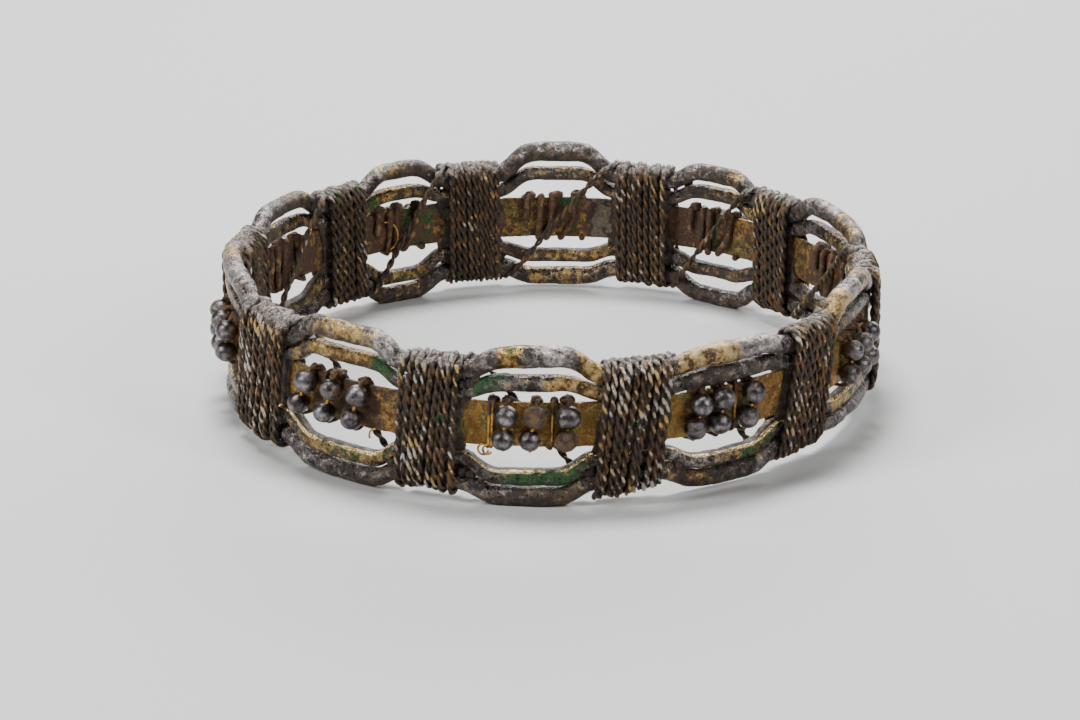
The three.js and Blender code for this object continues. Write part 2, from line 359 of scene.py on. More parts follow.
# %% The rods' metal
TAN = (0.33, 0.215, 0.085, 1)
PALE_GOLD = (0.50, 0.365, 0.17, 1)
RIDGE_GOLD = (0.88, 0.68, 0.34, 1)
BROWN_DIRT = (0.092, 0.060, 0.038, 1)


def rod_metal():
    """Marks: gilt, cream, green, pale and earth, each from 0 to 1, and ridge, on tarnished silver. Earth
    also holds painted shade.
    """
    n = Nodes("rod_silver")
    broad = n.noise(2.6, 1.3)
    middle = n.noise(0.9, 4.1, detail=6, roughness=0.62)
    fine, grain = n.speckle(0.30, 7.7)
    mottle = n.plus(n.times(middle, 0.8), n.times(fine, 0.2))
    colour = n.mix(n.between(mottle, 0.40, 0.60), DULL_SILVER, GREY_SILVER)
    # A pale crust lies on the silver.
    crust = n.pushed(n.noise(1.1, 9.9, detail=7, roughness=0.65), "pale", 0.22, 0.56, 0.72)
    colour = n.mix(crust, colour, n.mix(n.between(mottle, 0.42, 0.62), GREY_SILVER, PALE_CRUST))
    # Gilding survives in fields with frayed edges, ochre at their rims and paler in the cream patches.
    gilt = n.pushed(n.plus(n.times(broad, 0.3), n.times(middle, 0.7)), "gilt", 0.24, 0.57, 0.71)
    gold = n.mix(n.between(mottle, 0.42, 0.60), OCHRE, GILDING)
    tan = n.times(n.between(middle, 0.38, 0.52), n.mark("cream"))
    gold = n.mix(tan, gold, n.mix(n.between(mottle, 0.44, 0.60), TAN, PALE_GOLD))
    tan = n.times(tan, gilt)
    colour = n.mix(gilt, colour, gold)
    # Green, then earth, which also holds painted shade, and black pits.
    green = n.pushed(n.noise(0.9, 5.5, detail=7, roughness=0.62), "green", 0.30, 0.66, 0.78)
    colour = n.mix(green, colour, n.mix(grain, GREEN_DARK, GREEN_LIGHT))
    earth = n.pushed(n.noise(0.6, 3.3, detail=7, roughness=0.70), "earth", 0.26, 0.58, 0.68)
    colour = n.mix(earth, colour, n.mix(n.between(mottle, 0.42, 0.60), EARTH, BROWN_DIRT))
    holes = n.between(n.plus(n.cells(0.50), n.times(n.noise(0.8, 2.2), 0.9)), 0.70, 0.54)
    holes = n.times(holes, n.blend(tan, 0.9, 0.45))
    colour = n.mix(holes, colour, TARNISH)
    # A thin bright ridge runs along the lower inner rod.
    ridge = n.between(n.plus(n.mark("ridge"), n.swing(middle, 0.9)), 0.5, 0.7)
    colour = n.mix(ridge, colour, RIDGE_GOLD)
    dull = n.times(n.larger(green, earth), n.minus(1.0, ridge))
    metallic = n.blend(dull, n.blend(tan, 0.90, 0.5), 0.15)
    shine = n.blend(tan, n.blend(crust, 0.23, 0.32), 0.34)
    roughness = n.plus(n.blend(dull, shine, 0.50), n.swing(fine, 0.8))
    relief = n.plus(n.times(grain, 0.16), n.between(middle, 0.30, 0.70))
    relief = n.minus(relief, n.times(holes, 0.7))
    return n.finish(colour, metallic, roughness, n.bump(relief, 0.13))


rod_silver = rod_metal()

# %% The band's metal
DARK_ORANGE = (0.24, 0.105, 0.034, 1)
ORANGE = (0.44, 0.25, 0.065, 1)
OLIVE = (0.22, 0.175, 0.050, 1)
DARK_CORE = (0.09, 0.066, 0.042, 1)
GREY_CORE = (0.19, 0.15, 0.105, 1)


def band_metal():
    """Marks: green, earth, which also holds painted shade, and bare. Orange-brown corroded gilding, brighter
    where it was rubbed.
    """
    n = Nodes("band_gilding")
    broad = n.noise(2.2, 11.3, detail=5)
    middle = n.noise(0.8, 14.1, detail=6, roughness=0.62)
    fine, grain = n.speckle(0.28, 17.7)
    field = n.plus(n.times(broad, 0.6), n.times(middle, 0.4))
    colour = n.mix(n.between(field, 0.36, 0.62), DARK_ORANGE, ORANGE)
    colour = n.mix(n.between(n.noise(3.4, 19.0, detail=2), 0.48, 0.62), colour, OLIVE)
    gold = n.between(n.plus(middle, n.times(fine, 0.4)), 0.70, 0.90)
    colour = n.mix(n.times(gold, 0.7), colour, GILDING)
    green = n.pushed(n.noise(1.1, 15.5, detail=7, roughness=0.62), "green", 0.34, 0.68, 0.80)
    colour = n.mix(green, colour, n.mix(grain, GREEN_DARK, GREEN_LIGHT))
    earth = n.pushed(n.noise(0.7, 13.3, detail=7, roughness=0.68), "earth", 0.30, 0.54, 0.66)
    colour = n.mix(earth, colour, n.mix(grain, EARTH, RUST))
    # Where the gilding has flaked off, the grey core shows with a dark rim.
    flaked = n.pushed(n.times(field, 0.8), "bare", 0.28, 0.56, 0.60)
    core = n.pushed(n.times(field, 0.8), "bare", 0.28, 0.62, 0.66)
    colour = n.mix(flaked, colour, EARTH)
    colour = n.mix(core, colour, n.mix(grain, DARK_CORE, GREY_CORE))
    dull = n.larger(green, n.larger(earth, flaked))
    metallic = n.blend(dull, n.blend(gold, 0.70, 0.85), 0.12)
    roughness = n.plus(n.blend(dull, 0.28, 0.5), n.swing(fine, 0.5))
    relief = n.plus(n.times(grain, 0.3), n.between(middle, 0.30, 0.70))
    return n.finish(colour, metallic, roughness, n.bump(relief, 0.12))


band_gilding = band_metal()

# %% The twisted wire's metal
DARK_WIRE = (0.028, 0.019, 0.013, 1)
BROWN_WIRE = (0.115, 0.076, 0.048, 1)
ORANGE_WIRE = (0.17, 0.090, 0.034, 1)
RUBBED_SILVER = (0.62, 0.56, 0.51, 1)
RUBBED_GOLD = (0.60, 0.40, 0.15, 1)
DARK_ASH = (0.050, 0.040, 0.033, 1)
PALE_ASH = (0.40, 0.355, 0.33, 1)


def wire_metal():
    """Marks: crest, from 0 in the groove between the strands to 1 on their rubbed backs, top, and dull,
    partly painted shade.
    """
    n = Nodes("wire_silver")
    broad = n.noise(2.8, 21.3, detail=3)
    middle = n.noise(0.8, 24.1, detail=5)
    fine, grain = n.speckle(0.22, 27.7)
    crest = n.mark("crest")
    dirt = n.mix(n.between(middle, 0.46, 0.64), EARTH, RUST)
    dark = n.mix(grain, DARK_WIRE, BROWN_WIRE)
    dark = n.mix(n.between(n.noise(1.2, 25.0, detail=5), 0.50, 0.62), dark, ORANGE_WIRE)
    body = n.between(n.plus(crest, n.swing(middle, 1.4)), 0.30, 0.62)
    colour = n.mix(body, dirt, dark)
    # Rubbed crests come and go over a few millimetres, and the dull mark, partly painted shade, takes them
    # away.
    worn = n.plus(n.swing(broad, 1.5), n.swing(middle, 1.6))
    worn = n.minus(worn, n.times(n.mark("dull"), 0.17))
    rubbed = n.between(n.plus(crest, worn), 0.84, 1.14)
    gilt = n.between(n.noise(2.4, 6.1, detail=4), 0.44, 0.58)
    colour = n.mix(rubbed, colour, n.mix(gilt, RUBBED_SILVER, RUBBED_GOLD))
    # The tops of the wrappings are grey and grainy.
    top = n.between(n.plus(n.mark("top"), n.swing(middle, 1.6)), 0.50, 0.90)
    colour = n.mix(n.times(top, 0.85), colour, n.mix(grain, DARK_ASH, PALE_ASH))
    green = n.between(n.noise(1.3, 8.8, detail=4), 0.62, 0.70)
    colour = n.mix(n.times(green, body), colour, n.mix(grain, GREEN_DARK, GREEN_LIGHT))
    bare = n.larger(rubbed, n.times(top, 0.5))
    metallic = n.blend(bare, n.blend(body, 0.10, 0.50), 0.90)
    roughness = n.plus(n.blend(bare, 0.50, 0.30), n.swing(fine, 0.6))
    relief = n.plus(grain, n.between(middle, 0.30, 0.70))
    return n.finish(colour, metallic, roughness, n.bump(relief, 0.05))


wire_silver = wire_metal()

# %% The beads' metal
DARK_BEAD = (0.070, 0.060, 0.060, 1)
PALE_BEAD = (0.29, 0.27, 0.275, 1)
DARK_SCALE = (0.045, 0.036, 0.030, 1)
RUST_SCALE = (0.17, 0.085, 0.030, 1)
GREY_SCALE = (0.15, 0.135, 0.125, 1)


def bead_metal():
    """Marks: seat, 1 where a bead faces the band, and dull, 1 for a bead under a brown crust."""
    n = Nodes("bead_silver")
    middle = n.noise(0.9, 31.3, detail=5)
    fine, grain = n.speckle(0.24, 37.7)
    tone = n.plus(n.times(middle, 0.7), n.times(fine, 0.3))
    colour = n.mix(n.between(tone, 0.42, 0.62), DARK_BEAD, PALE_BEAD)
    holes = n.between(n.plus(n.cells(0.42), n.times(middle, 0.8)), 0.56, 0.44)
    colour = n.mix(n.times(holes, 0.9), colour, TARNISH)
    crust = n.between(n.plus(n.mark("dull"), n.swing(tone, 2.6)), 0.50, 0.70)
    brown = n.mix(n.between(middle, 0.42, 0.54), DARK_SCALE, RUST_SCALE)
    brown = n.mix(n.between(fine, 0.50, 0.62), brown, GREY_SCALE)
    colour = n.mix(crust, colour, brown)
    seat = n.between(n.plus(n.mark("seat"), n.swing(tone, 1.4)), 0.50, 0.90)
    colour = n.mix(seat, colour, n.mix(grain, EARTH, OCHRE))
    dirty = n.larger(seat, crust)
    metallic = n.blend(dirty, 0.95, 0.35)
    shine = n.blend(holes, n.blend(dirty, 0.26, 0.50), 0.6)
    roughness = n.plus(shine, n.times(fine, 0.12))
    relief = n.minus(n.times(grain, n.blend(crust, 0.15, 1.5)), n.times(holes, 0.9))
    return n.finish(colour, metallic, roughness, n.bump(relief, 0.05))


bead_silver = bead_metal()

# %% The lacing wire's metal
DIRTY_GOLD = (0.21, 0.13, 0.055, 1)
CLEAN_GOLD = (0.60, 0.33, 0.08, 1)


def lacing_metal():
    """Mark: clean, 1 where thin gilded wire is bare in front of the band. Brown with earth elsewhere."""
    n = Nodes("lacing_gilding")
    middle = n.noise(1.1, 41.3, detail=5)
    fine = n.noise(0.2, 47.7, detail=5, roughness=0.65)
    clean = n.pushed(middle, "clean", 0.35, 0.66, 0.80)
    dirt = n.mix(n.between(fine, 0.40, 0.60), EARTH, RUST)
    dirt = n.mix(n.between(middle, 0.52, 0.66), dirt, DIRTY_GOLD)
    colour = n.mix(clean, dirt, CLEAN_GOLD)
    return n.finish(colour, n.blend(clean, 0.25, 0.95), n.blend(clean, 0.6, 0.28), n.bump(fine, 0.10))


lacing_gilding = lacing_metal()

# %% [markdown]
# ## The four rods
# Each rod was a straight piece of drawn silver, hammered round into a hoop and bent out between the
# wrappings. The nodes carry the right line, as a ring of flat-sided stretches. A Subdivision Surface would
# round them but also shrink them, so the line is read from the node instead: the middle of each of its
# stations gives a height, and a curve goes through them that never swings past them. The rod itself is a
# grid rolled up along that line. Noise gives the lumps, flats and pits of the corroded surface.


# %% Reading a rod's line from its node
STATION_GAP = np.radians(0.35)


def centre_line(node):
    """Angles and heights of the middle of a rod node's stations."""
    points = get_points(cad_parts[node].data.vertices) / MM
    angles = angle_of(points)
    order = np.argsort(angles)
    angles, heights = angles[order], points[order, 2] - MID_HEIGHT
    cuts = np.flatnonzero(np.diff(angles) > STATION_GAP) + 1
    stations = [part.mean() for part in np.split(angles, cuts)]
    middles = [(part.min() + part.max()) / 2 for part in np.split(heights, cuts)]
    return np.array(stations), np.array(middles)


def smooth_round(angles, heights, at):
    """A smooth closed curve through the stations, read at the angles at, that doesn't swing past them."""
    known = np.concatenate([angles[-2:] - TURN, angles, angles[:3] + TURN])
    values = np.concatenate([heights[-2:], heights, heights[:3]])
    rises = np.diff(values) / np.diff(known)
    before, after = rises[:-1], rises[1:]
    together = before * after > 0
    middle = np.where(together, 2 * before * after / np.where(together, before + after, 1), 0)
    slopes = np.concatenate([[0], middle, [0]])
    at = at % TURN
    i = np.clip(np.searchsorted(known, at) - 1, 0, len(known) - 2)
    span = known[i + 1] - known[i]
    t = (at - known[i]) / span
    rise = t * t * (3 - 2 * t)
    steer = t * (1 - t) ** 2 * slopes[i] * span - t * t * (1 - t) * slopes[i + 1] * span
    return values[i] * (1 - rise) + values[i + 1] * rise + steer


print("stations of a rod:", len(centre_line("rod_upper_outer")[0]))


# %% Sections
def squarish(around, power):
    """The parts of a rounded square at the angles around. A power of 1 gives a circle."""
    c, s = np.cos(around), np.sin(around)
    return np.sign(c) * np.abs(c) ** power, np.sign(s) * np.abs(s) ** power


# %% [markdown]
# The marks say where along the hoop, in degrees from the front, the photo shows gilding, pale crust, green
# or earth. Each is a patch with a middle, a half width and a strength. Round the back, where the photo
# shows little, a few more patches in the same manner carry on.


# %% Patches of finish
def patches(angle, *fields):
    """Adds up soft patches given as (middle in degrees, half width in degrees, strength)."""
    total = np.zeros_like(angle)
    for middle, half, strength in fields:
        away = np.abs((np.degrees(angle) - middle + 180) % 360 - 180)
        total += strength * np.clip(1.5 - away / half, 0, 1)
    return np.clip(total, -1, 1)


# The wide earth patches on the upper rods at about 180 degrees are partly painted shade on the back of the
# hoop.
ROD_PATCHES = {
    "rod_upper_outer": {
        "gilt": [(-6.5, 2.2, 0.9), (7, 2.2, 1.0), (28, 5.5, 1.1), (-37, 5.5, 1.1), (60, 4, 0.8),
                 (73, 3, 0.7), (102, 5, 0.8), (143, 4, 0.6), (212, 5, 0.5), (238, 4, 0.6), (275, 5, 0.7),
                 (-62, 3, 0.5)],
        "cream": [(28, 7, 1.0), (7, 3, 0.6), (-37, 6, 0.4), (66, 8, 0.7)],
        "pale": [(1.5, 3.5, 0.8), (37.5, 5, 1.0), (181, 5, 0.5), (-29, 3.5, 1.0), (66, 3.5, 0.8),
                 (78, 4, 0.9), (112, 6, 0.5), (-75, 8, 0.8), (-88, 5, 0.6), (-105, 8, 0.6), (150, 6, 0.5),
                 (210, 8, 0.5)],
        "green": [(-7, 2, 0.3), (183, 4, 0.5), (118, 3, 0.4), (245, 4, 0.4)],
        "earth": [(-10, 2, 0.3), (179, 12, 0.3), (205, 5, 0.4), (-37, 9, 0.25), (240, 6, 0.4),
                  (145, 5, 0.3)],
    },
    "rod_upper_inner": {
        "gilt": [(5, 4, 1.0), (-38, 9, 1.0), (60, 6, 0.5), (175, 10, 0.5), (212, 8, 0.8), (142, 8, 0.6),
                 (240, 8, 0.7), (105, 8, 0.7), (280, 10, 0.6)],
        "cream": [(6, 4, 0.9), (-38, 6, 0.3)],
        "pale": [(0.5, 3, 0.3), (37, 4, 0.2), (180, 6, 0.7)],
        "green": [(-9.5, 2.4, 1.0), (-12.5, 2, 0.5), (-29, 2.5, 0.9), (165, 3, 0.5), (218, 3, 0.6),
                  (72, 4, 0.5), (120, 4, 0.4)],
        "earth": [(32, 11, 0.5), (180, 12, 0.2), (150, 6, 0.4), (250, 5, 0.4), (-38, 8, 0.2)],
    },
    "rod_lower_inner": {
        "gilt": [(0, 11, 0.4), (35, 7, 0.6), (-38, 12, 0.8), (178, 12, 1.0), (210, 9, 0.8), (145, 9, 0.7),
                 (240, 11, 0.8), (68, 12, 0.7), (108, 12, 0.7), (278, 12, 0.7)],
        "cream": [(180, 6, 0.4), (-40, 5, 0.3)],
        "pale": [(-46, 3, 0.4), (24, 3, 1.0), (176, 4, 0.3)],
        "green": [(-2, 8, 1.0), (-36, 8, 0.6), (37, 4, 0.8), (208, 6, 0.5), (70, 6, 0.5), (110, 5, 0.4)],
        "earth": [(-8, 3, 0.3), (25, 4, 0.4), (-38, 9, 0.25), (184, 4, 0.3), (145, 8, 0.4), (240, 6, 0.3)],
    },
    "rod_lower_outer": {
        "gilt": [(4, 4, 0.5), (-20, 9, 0.2), (26, 6, 0.7), (178, 8, 0.6), (212, 6, 0.5), (100, 8, 0.4)],
        "cream": [(178, 5, 0.3)],
        "pale": [(-46, 5, 0.5), (-34, 6, 0.2), (38, 5, 0.4), (66, 6, 0.5), (80, 5, 0.5), (-6, 4, 0.2),
                 (140, 6, 0.4), (240, 8, 0.4), (275, 8, 0.6)],
        "green": [(-5, 3, 0.3), (110, 5, 0.4)],
        "earth": [(0, 10, 0.7), (-32, 9, 0.5), (28, 8, 0.6), (150, 10, 0.4), (205, 12, 0.3),
                  (250, 10, 0.3)],
    },
}


# %% Making the rods
ROD_STEPS = 1080
ROD_SIDES = 26
OUTER_ROD = {"half": (0.95, 0.93), "power": 0.95}
INNER_ROD = {"half": (0.77, 0.74), "power": 0.70}
FLOOR_GAP = 0.01  # kept between the lowest rod and the floor
SOFTENING = 7  # steps of the ring over which the bends are eased
WRAP_ANGLES = [  # degrees from the front, of the wrappings that hold the rods together
    14.4, 50.2, 87.5, 129.8, 161.0, 195.4, 224.6, 258.2, 302.0, 340.0,
]
ROD_LIFTS = {  # where a rod stands a little off its node: degrees, half width, millimetres
    "rod_upper_outer": [(-3, 9, -0.22), (-9.5, 2, -0.35), (178, 10, 0.14), (8, 2, 0.25), (20.5, 2, 0.3),
                        (-50, 3, -0.2)],
    "rod_upper_inner": [(32, 8, -0.1)],
    "rod_lower_inner": [(place, 8, -0.5) for place in WRAP_ANGLES],
    "rod_lower_outer": [(10.5, 3, -0.55), (-15.5, 2.5, -0.4)],
}
ROD_SWELLS = {  # where a rod is thicker: degrees, half width, share of its thickness
    "rod_upper_outer": [(-3, 8, 0.13), (33, 8, 0.12), (-37, 8, 0.10), (-75, 9, 0.10), (68, 9, 0.12),
                        (178, 10, 0.14)],
    "rod_upper_inner": [(-5, 7, 0.08), (32, 8, 0.2)],
    "rod_lower_inner": [(-3, 9, 0.10), (-38, 9, 0.08)],
    "rod_lower_outer": [(-3, 9, 0.05), (178, 12, 0.05)],
}


def eased(values, times):
    """Evens out values given at even steps round the hoop."""
    for _ in range(times):
        values = (np.roll(values, 1) + 2 * values + np.roll(values, -1)) / 4
    return values


def level_round(node, angle):
    """A rod's height and slope at angles round the hoop: its node's line with its bends eased."""
    even = TURN * np.arange(ROD_STEPS) / ROD_STEPS
    level = smooth_round(*centre_line(node), even) + patches(even, *ROD_LIFTS[node])
    level = eased(level, SOFTENING ** 2)
    slope = (np.roll(level, -1) - np.roll(level, 1)) / (2 * TURN / ROD_STEPS * HOOP_RADIUS)
    return np.interp(angle, even, level, period=TURN), np.interp(angle, even, slope, period=TURN)


ROD_LUMPS = [(0.07, 2.3, 0), (0.05, 1.0, 5), (0.03, 0.45, 9)]  # share of the thickness, width in mm, seed
RIDGED = "rod_lower_inner"  # the rod with a bright ridge, and with earth on its crown
RIDGE_AT = 52  # degrees round the section, up from its outer side
RIDGE_WIDTH = 24


def make_rod(node, shape, seed):
    """One rod: a rolled grid on the node's line, roughened, with its marks."""
    bm, along, around = rolled_grid(ROD_STEPS, ROD_SIDES)
    angle = TURN * along
    level, slope = level_round(node, angle)
    c, s = squarish(around, shape["power"])
    spot = on_hoop(angle, HOOP_RADIUS + c, level + s)
    lumps = sum(share * rough(spot, width, seed + more) for share, width, more in ROD_LUMPS)
    dents = -0.20 * np.clip(rough(spot, 1.1, seed + 3) - 0.5, 0, 1)
    swell = 1 + lumps + dents + patches(angle, *ROD_SWELLS[node])
    sway = 0.10 * rough(on_hoop(angle, HOOP_RADIUS, level), 6.0, seed + 7)
    half_out, half_up = shape["half"]
    up = level + s * half_up * (1 + slope ** 2) ** 0.35 * swell
    up = np.maximum(up, FLOOR_GAP - MID_HEIGHT)
    set_points(bm.verts, on_hoop(angle, HOOP_RADIUS + sway + c * half_out * swell, up))
    # Painted shade under and inside each rod joins the earth mark; the ridged rod's crown has earth in place
    # of its green.
    crown = 0.9 * np.clip(5 * s - 4, 0, 1) * (node == RIDGED)
    painted_shade = 0.6 * np.clip(-s - 0.1, 0, 1) + 0.4 * np.clip(-c - 0.1, 0, 1)
    for mark, fields in ROD_PATCHES[node].items():
        dirt = (crown + painted_shade) * (mark == "earth") - crown * (mark == "green")
        set_mark(bm, mark, patches(angle, *fields) + dirt)
    away = (np.degrees(around) - RIDGE_AT + 180) % 360 - 180
    ridge = np.exp(-(away / RIDGE_WIDTH) ** 2) * np.clip(0.9 + 0.5 * rough(spot, 3.0, seed + 11), 0, 1)
    set_mark(bm, "ridge", ridge * (node == RIDGED))
    finish_piece(node + "_worn", bm, rod_silver, [node])


make_rod("rod_upper_outer", OUTER_ROD, 1.0)
make_rod("rod_upper_inner", INNER_ROD, 21.0)
make_rod("rod_lower_inner", INNER_ROD, 41.0)
make_rod("rod_lower_outer", OUTER_ROD, 61.0)


# %% [markdown]
# ## The band
# The band is a strip of sheet silver, gilded, that stands on edge in the middle of the stack. It is rolled
# from a grid too, with a flat section. Its edges are nibbled and its faces dished a little, as hammered
# sheet is. A Solidify modifier on a strip would do as well, but here the edges are rounded and worn in one
# step.

# %% Making the band
BAND_HALF = (0.25, 2.25)
BAND_SIDES = 48
BAND_GREEN = [(176, 2.5, 0.9), (208, 6, 1.0), (147, 4, 1.0), (-11, 2, 0.3), (70, 6, 0.5), (285, 6, 0.5)]
BAND_BARE = [(169.5, 3, 1.0), (228, 2, 0.6)]
BAND_EARTH = [(0, 4, 0.2), (33, 9, 0.35), (-37, 10, 0.6), (166, 6, 0.5), (215, 5, 0.3), (155, 6, 0.4),
              (240, 8, 0.4), (110, 8, 0.3)]


def make_band():
    """The flat band with worn edges."""
    bm, along, around = rolled_grid(ROD_STEPS, BAND_SIDES)
    angle = TURN * along
    c, s = squarish(around, 0.35)
    spot = on_hoop(angle, HOOP_RADIUS + c, BAND_HALF[1] * s)
    nibble = 1 - 0.05 * np.clip(rough(spot, 0.9, 3.0), 0, 1) - 0.03 * np.clip(rough(spot, 0.4, 8.0), 0, 1)
    dish = 0.06 * rough(spot, 2.5, 12.0) + 0.02 * rough(spot, 0.7, 14.0)
    set_points(bm.verts, on_hoop(angle, HOOP_RADIUS + c * BAND_HALF[0] + dish, s * BAND_HALF[1] * nibble))
    set_mark(bm, "green", patches(angle, *BAND_GREEN))
    # The earth mark rises on the band's inner face: painted shade inside the hoop.
    set_mark(bm, "earth", patches(angle, *BAND_EARTH) + 0.36 * np.clip(-c, 0, 1))
    set_mark(bm, "bare", patches(angle, *BAND_BARE) * (0.85 + 0.45 * rough(spot, 1.4, 17.0)))
    finish_piece("band_worn", bm, band_gilding, ["band"])


make_band()

# %% [markdown]
# ## The twisted wire
# The binding wire is two fine silver wires twisted together. Its turns climb the outside of the stack, pass
# over the top rod and drop behind it, and from the last turn of each wrapping the wire runs on, slanting
# down behind the window to the foot of the next one. Each strand is a grid rolled up round a line that
# spirals about the wire's own. A curve with a bevel could do the same, but it couldn't tell the rubbed
# crests from the grooves.

# %% The wrappings' own figures
WRAP_TURNS = [10, 10, 10, 9, 10, 10, 9, 9, 12, 9]
WRAP_LEAN = [1.2, 3.2, 0.8, 0.6, 0.6, 0.5, 0.6, 0.8, 2.8, 1.1]
WRAP_SPREAD = [0.1, 0, 0.15, 0.1, 0.35, 0.3, 0.15, 0.15, 0.45, 0.45]
WRAP_LOOSENESS = [1, 1.2, 1, 1, 1.2, 1.2, 1, 1, 2.0, 1.3]
# how far the outside of each wrapping is dimmed: painted shade
WRAP_PAINTED_SHADE = [0, 0.8, 0.6, 0.5, 0.5, 0.5, 0.5, 0.6, 0.2, 0.1]
LOWER_SPREAD = 0.6
HANGS = [(9.5, 6, 0.6), (-15, 3, 0.4)]  # where turns hang lower: degrees, half width, millimetres
COUNT = len(WRAP_ANGLES)
WIRE_PITCH = 0.74
STRAND_RADIUS = 0.20
STRAND_OFFSET = 0.17
TWIST_LENGTH = 2.5
SECTIONS_PER_TWIST = 10
STRAND_SIDES = 8
SECTIONS_PER_TURN = 64
CROSSING_SECTIONS = 45
SEAT_OUTER = 4.593  # height of the outer rods' middle in a wrapping
BUNDLE_TOP = 5.415  # height of the outer rods' top in a wrapping
END_LEAN = 0.5  # share of the lean that is left at a wrapping's two ends
WIRE_LIFT = 1.34  # from the outer rods' middle to the wire's


# %% The way of the wire round a wrapping
def round_stack(k, turn):
    """Outward and upward place of the wire at a turn, from under the stack, and which way is out."""
    high = SEAT_OUTER + WRAP_SPREAD[k]
    low = -high - LOWER_SPREAD
    bends = [(-90, 0, low, 9), (0, 180, high, 17), (180, 270, low, 9)]  # from, to, level, points
    arc = np.radians(np.concatenate([np.linspace(start, end, count) for start, end, _, count in bends]))
    rod = np.concatenate([np.full(count, level) for *_, level, count in bends])
    out, up = WIRE_LIFT * np.cos(arc), rod + WIRE_LIFT * np.sin(arc)
    walked = np.concatenate([[0], np.cumsum(np.hypot(np.diff(out), np.diff(up)))])
    share = (turn % 1) * walked[-1]
    return np.interp(share, walked, out), np.interp(share, walked, up), np.interp(share, walked, arc)


def wander(rng, at, spacing, size):
    """Smooth random wandering along at, with a fresh value every spacing."""
    knots = np.arange(at.min() - spacing, at.max() + 2 * spacing, spacing)
    return np.interp(at, knots, rng.normal(0, size, len(knots)))


def wound_part(k, rng):
    """The wire's turns round wrapping k: angles, outward and upward places, and which way is out."""
    turns = WRAP_TURNS[k]
    turn = np.linspace(0, turns - 0.5, int(SECTIONS_PER_TURN * (turns - 0.5)))
    out, up, facing = round_stack(k, turn)
    share = turn / turns
    lean = WRAP_LEAN[k] * up / (2 * (BUNDLE_TOP + WRAP_SPREAD[k]))
    lean = lean * (1 - np.abs(2 * share - 1) * (1 - END_LEAN))
    along = WIRE_PITCH * (turns * (share - 0.5) + 0.5 * (1 - 2 * share)) + lean
    along = along + wander(rng, turn, 0.31, 0.10 * WRAP_LOOSENESS[k]) + wander(rng, turn, 1.0, 0.07)
    lift = np.abs(wander(rng, turn, 0.37, 0.085 * WRAP_LOOSENESS[k]))
    angle = np.radians(WRAP_ANGLES[k]) + along / HOOP_RADIUS
    up = up - patches(angle, *HANGS) * np.clip(-up / SEAT_OUTER, 0, 1)
    return angle, out + lift * np.cos(facing), up + lift * np.sin(facing), facing


def crossing_part(k, start, top, rng):
    """The wire behind the next window, from the top of wrapping k to the foot of the next."""
    next_k = (k + 1) % COUNT
    foot = WRAP_ANGLES[next_k] + (360 if next_k == 0 else 0)
    before = WIRE_PITCH * (WRAP_TURNS[next_k] - 1) / 2 + WRAP_LEAN[next_k] / 4
    foot = np.radians(foot) - before / HOOP_RADIUS
    low = -(SEAT_OUTER + WRAP_SPREAD[next_k] + LOWER_SPREAD + WIRE_LIFT)
    way = np.linspace(0, 1, CROSSING_SECTIONS + 1)[1:]
    inward = np.interp(way, [0, 0.05, 0.12, 0.85, 0.95, 1], [0, 0.85, 1.08, 1.08, 0.75, 0])
    fall = np.interp(way, [0, 0.06, 0.14, 0.60, 0.90, 1], [0, 0.01, 0.08, 0.58, 0.93, 1])
    bow = 0.3 * np.sin(np.pi * way) * rng.uniform(-1, 1)
    angle = start + (foot - start) * way
    facing = np.interp(way, [0, 0.15, 0.85, 1], [np.pi / 2, np.pi, np.pi, 3 * np.pi / 2])
    return angle, -WIRE_LIFT * inward, top + (low - top) * fall + bow, facing


def wire_way(k, rng):
    """Points and outward directions of the wire through wrapping k and behind the next window."""
    wound = wound_part(k, rng)
    crossing = crossing_part(k, wound[0][-1], wound[2][-1], rng)
    angle, out, up, facing = (np.concatenate(pair) for pair in zip(wound, crossing))
    outward = on_hoop(angle, 1, 0) * (1, 1, 0)
    normals = np.cos(facing)[:, None] * outward + np.sin(facing)[:, None] * (0, 0, 1)
    return relax(on_hoop(angle, HOOP_RADIUS + out, up), 2), normals


def relax(points, times):
    """Evens out a line of points, with its ends held."""
    for _ in range(times):
        points[1:-1] = (points[:-2] + 2 * points[1:-1] + points[2:]) / 4
    return points


# %% Laying a strand
def unit(vectors):
    """Vectors of length 1."""
    return vectors / np.linalg.norm(vectors, axis=1, keepdims=True)


def walked_way(points):
    """The distance walked at each point of a way."""
    return np.concatenate([[0], np.cumsum(np.linalg.norm(np.diff(points, axis=0), axis=1))])


def frames_along(points, normals, share):
    """At shares of a way: its places, and its outward and sideways directions."""
    walked = walked_way(points)
    at = share * walked[-1]
    tangents = unit(np.gradient(points, walked, axis=0))
    place, along, out = (
        np.stack([np.interp(at, walked, rows[:, i]) for i in range(3)], axis=-1)
        for rows in (points, tangents, normals)
    )
    along = unit(along)
    out = unit(out - along * (out * along).sum(1, keepdims=True))
    return place, out, np.cross(along, out)


def close_ends(bm):
    """Rolls a strand shut and caps its two ends."""
    bmesh.ops.remove_doubles(bm, verts=bm.verts, dist=WELD_GAP)
    bmesh.ops.holes_fill(bm, edges=[e for e in bm.edges if e.is_boundary], sides=0)


def pour_into(joined, bm):
    """Moves everything from one bmesh into another."""
    passing = bpy.data.meshes.new("passing")
    bm.to_mesh(passing)
    bm.free()
    joined.from_mesh(passing)
    bpy.data.meshes.remove(passing)


